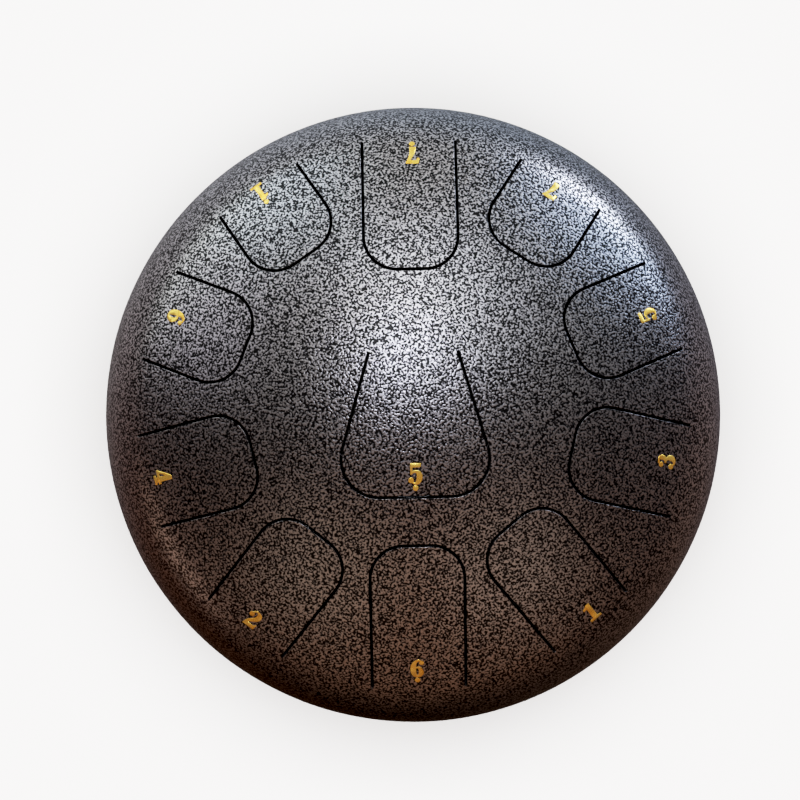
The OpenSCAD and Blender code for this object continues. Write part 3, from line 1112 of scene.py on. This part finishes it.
class DRUM_OT_lower_shell(Operator):
    """Make the painted lower shell with its sound port"""

    bl_idname = "drum.lower_shell"
    bl_label = "Lower Shell"

    def execute(self, context):
        sizes = context.scene.drum_sizes
        dome, soft = Dome(sizes), sizes.paint_round * PORT_ROUNDING
        mouth = sizes.port / 2 + soft
        join = dome.crown * dome.join_sine
        inner_join = join * (1 - sizes.wall / dome.crown)

        def crown(reach, inset):
            r = np.linspace(mouth, reach, CROWN_ROWS)
            z, out, up = dome.at(r, inset)
            return np.stack([r, z], 1), np.stack([out, up], 1)

        top, top_n = crown(join, 0.0)
        low, low_n = crown(inner_join, sizes.wall)
        tips = np.radians([0, 30, 60, 90])
        lip_n = np.stack([-np.cos(tips), np.sin(tips)], 1)
        curl_n = lip_n[::-1] * [1, -1]
        lip = np.array([mouth, float(dome.at(mouth)[0]) - soft]) + lip_n * soft
        curl = np.array([mouth, float(dome.at(mouth, sizes.wall)[0]) + soft]) + curl_n * soft
        runs = [
            (lip, lip_n, 0),
            (top, top_n, 0),
            *seam_runs(sizes, dome, join, inner_join),
            (low[::-1], -low_n[::-1], 1),
            (curl, curl_n, 0),
            (np.array([curl[-1], lip[0]]), [(-1.0, 0.0)] * 2, 0),
        ]
        flipped = []
        for points, normals, slot in runs[::-1]:
            points, normals = np.asarray(points)[::-1], np.asarray(normals, float)[::-1]
            flipped.append((points * [1, -1] + [0.0, SEAM_Z], normals * [1, -1], slot))
        skin = Skin()
        skin.spin(flipped, SHELL_SIDES, closed=True)
        piece = skin.build("lower_shell_skin", sheet_materials())
        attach(piece, "drum")
        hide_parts("lower_shell")
        return {"FINISHED"}


class DRUM_OT_seam_weld(Operator):
    """Make the ground and painted bead of the seam weld"""

    bl_idname = "drum.seam_weld"
    bl_label = "Seam Weld"

    def execute(self, context):
        sizes = context.scene.drum_sizes
        dome, skin, half = Dome(sizes), Skin(), sizes.weld_width / 2
        angles = round_angles(WELD_SIDES)
        # Close grinding marks, and a bead that is a little uneven round the drum.
        ripple = 0.5 + 0.5 * np.sin(angles * WELD_MARKS + 1.5 * np.sin(angles * 7))
        uneven = 0.7 + 0.3 * np.sin(angles * 11 + 2) * np.sin(angles * 5)
        rows, rows_n = [], []
        for s in np.linspace(1, -1, WELD_ROWS):
            z = s * half
            surface = dome.turn + math.sqrt(dome.rim**2 - z * z)
            crown = (1 - s * s) ** 2
            r = surface - WELD_TUCK + crown * (sizes.weld_proud * uneven + WELD_RIPPLE * ripple)
            rows.append(skin.add(ring_at(r, z + SEAM_Z, angles)))
            tilt = z / dome.rim + 4 * sizes.weld_proud * s * (1 - s * s) / half
            rows_n.append(ring_at(math.cos(tilt), math.sin(tilt), angles))
        root = skin.add(ring_at(dome.edge - sizes.weld_depth, SEAM_Z, angles))
        for rings in zip(rows, rows[1:], rows_n, rows_n[1:]):
            skin.band(*rings)
        skin.band(root, rows[0])
        skin.band(rows[-1], root)
        piece = skin.build("seam_weld_skin", [material("hammertone")])
        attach(piece, "drum")
        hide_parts("seam_weld")
        return {"FINISHED"}


class DRUM_OT_feet(Operator):
    """Finish the rubber feet and the fasteners that hold them"""

    bl_idname = "drum.feet"
    bl_label = "Feet and Fasteners"

    def execute(self, context):
        finishes = {
            "rubber": ["foot_front_left", "foot_front_right", "foot_back_left", "foot_back_right"],
            "zinc": ["foot_inserts", "foot_screws", "foot_washers", "foot_nuts"],
        }
        for finish, nodes in finishes.items():
            for node in nodes:
                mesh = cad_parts[node].data
                mesh.materials.clear()
                mesh.materials.append(material(finish))
        return {"FINISHED"}


class DRUM_OT_numbers(Operator):
    """Lay the foil note numbers on the tongues"""

    bl_idname = "drum.numbers"
    bl_label = "Note Numbers"

    def execute(self, context):
        sizes = context.scene.drum_sizes
        dome = Dome(sizes)
        for name, (digit, dot, middle, up_way) in NUMBERS.items():
            skin = number_skin(sizes, dome, digit, dot, middle, up_way)
            piece = skin.build("number_" + name, [material("foil")])
            bend_with(piece)
        return {"FINISHED"}


class DRUM_OT_stage(Operator):
    """Set the floor, the lights and the camera"""

    bl_idname = "drum.stage"
    bl_label = "Stage"

    def execute(self, context):
        scene, stage = context.scene, context.scene.drum_stage
        mesh, h = bpy.data.meshes.new("floor"), FLOOR_HALF
        mesh.from_pydata([(-h, -h, 0), (h, -h, 0), (h, h, 0), (-h, h, 0)], [], [(0, 1, 2, 3)])
        floor = bpy.data.objects.new("floor", mesh)
        scene.collection.objects.link(floor)
        mesh.materials.append(floor_card(stage))
        floor.visible_glossy = floor.visible_diffuse = False

        scene.world = room(stage)
        scene.view_settings.view_transform = "Standard"
        soft_tones(scene.view_settings)

        only_floor = bpy.data.collections.new("only_floor")
        only_floor.objects.link(floor)
        not_floor = bpy.data.collections.new("not_floor")
        not_floor.objects.link(floor)
        not_floor.collection_objects[0].light_linking.link_state = "EXCLUDE"
        middle = Vector((0, 0, SEAM_Z))
        for name, (aim, rise, width, height, power) in LAMPS.items():
            place = middle + Vector(way_to(aim, rise)) * LAMP_DISTANCE
            made = self.lamp(name, place, width, height, power)
            made.light_linking.receiver_collection = not_floor
        high, wide = FLOOR_LAMP
        made = self.lamp("floor_light", (0, 0, high), wide, wide, stage.floor_light)
        made.light_linking.receiver_collection = only_floor
        scene.camera = self.camera(middle, stage)
        return {"FINISHED"}

    @staticmethod
    def lamp(name, place, width, height, power):
        """A rectangular lamp that faces the drum."""
        data = bpy.data.lights.new(name, "AREA")
        data.shape, data.size, data.size_y = "RECTANGLE", width, height
        data.energy, data.color = max(power), [p / max(power) for p in power]
        made = bpy.data.objects.new(name, data)
        made.location = place
        aim = Vector((0, 0, SEAM_Z)) - Vector(place)
        made.rotation_euler = aim.to_track_quat("-Z", "Y").to_euler()
        bpy.context.scene.collection.objects.link(made)
        return made

    @staticmethod
    def camera(middle, stage):
        """The camera, nearly straight above the middle."""
        made = bpy.data.objects.new("camera", bpy.data.cameras.new("camera"))
        bpy.context.scene.collection.objects.link(made)
        side, front = (math.sin(math.radians(lean)) for lean in CAMERA_LEAN)
        back = Vector((side, -front, 1.0)).normalized()
        right = Vector(way_to(CAMERA_ROLL))
        right = (right - back * right.dot(back)).normalized()
        turn = Matrix((right, back.cross(right), back)).transposed().to_4x4()
        made.matrix_world = Matrix.Translation(middle + back * stage.camera_distance) @ turn
        made.data.lens = stage.camera_lens
        made.data.sensor_width = 36.0
        made.data.shift_x, made.data.shift_y = CAMERA_SHIFT
        return made


class DRUM_PT_panel(Panel):
    """The drum's pieces, sizes and finishes"""

    bl_label = "Steel Tongue Drum"
    bl_idname = "DRUM_PT_panel"
    bl_space_type = "VIEW_3D"
    bl_region_type = "UI"
    bl_category = "Drum"

    def draw(self, context):
        for step in STEPS:
            self.layout.operator(step.bl_idname)
        for group in GROUPS:
            box, owner = self.layout.box(), getattr(context.scene, group)
            for prop in owner.__annotations__:
                box.prop(owner, prop)


STEPS = [
    DRUM_OT_upper_shell, DRUM_OT_tongues, DRUM_OT_lower_shell, DRUM_OT_seam_weld, DRUM_OT_feet,
    DRUM_OT_numbers, DRUM_OT_stage,
]
GROUPS = {"drum_sizes": DrumSizes, "drum_finish": DrumFinish, "drum_stage": DrumStage}


def register():
    for kind in [*GROUPS.values(), *STEPS, DRUM_PT_panel]:
        bpy.utils.register_class(kind)
    for name, kind in GROUPS.items():
        setattr(bpy.types.Scene, name, PointerProperty(type=kind))


def unregister():
    for name in GROUPS:
        delattr(bpy.types.Scene, name)
    for kind in [DRUM_PT_panel, *reversed(STEPS), *GROUPS.values()]:
        bpy.utils.unregister_class(kind)


def main():
    register()
    for step in STEPS:
        getattr(bpy.ops.drum, step.bl_idname.split(".")[1])()


if __name__ == "__main__":
    main()
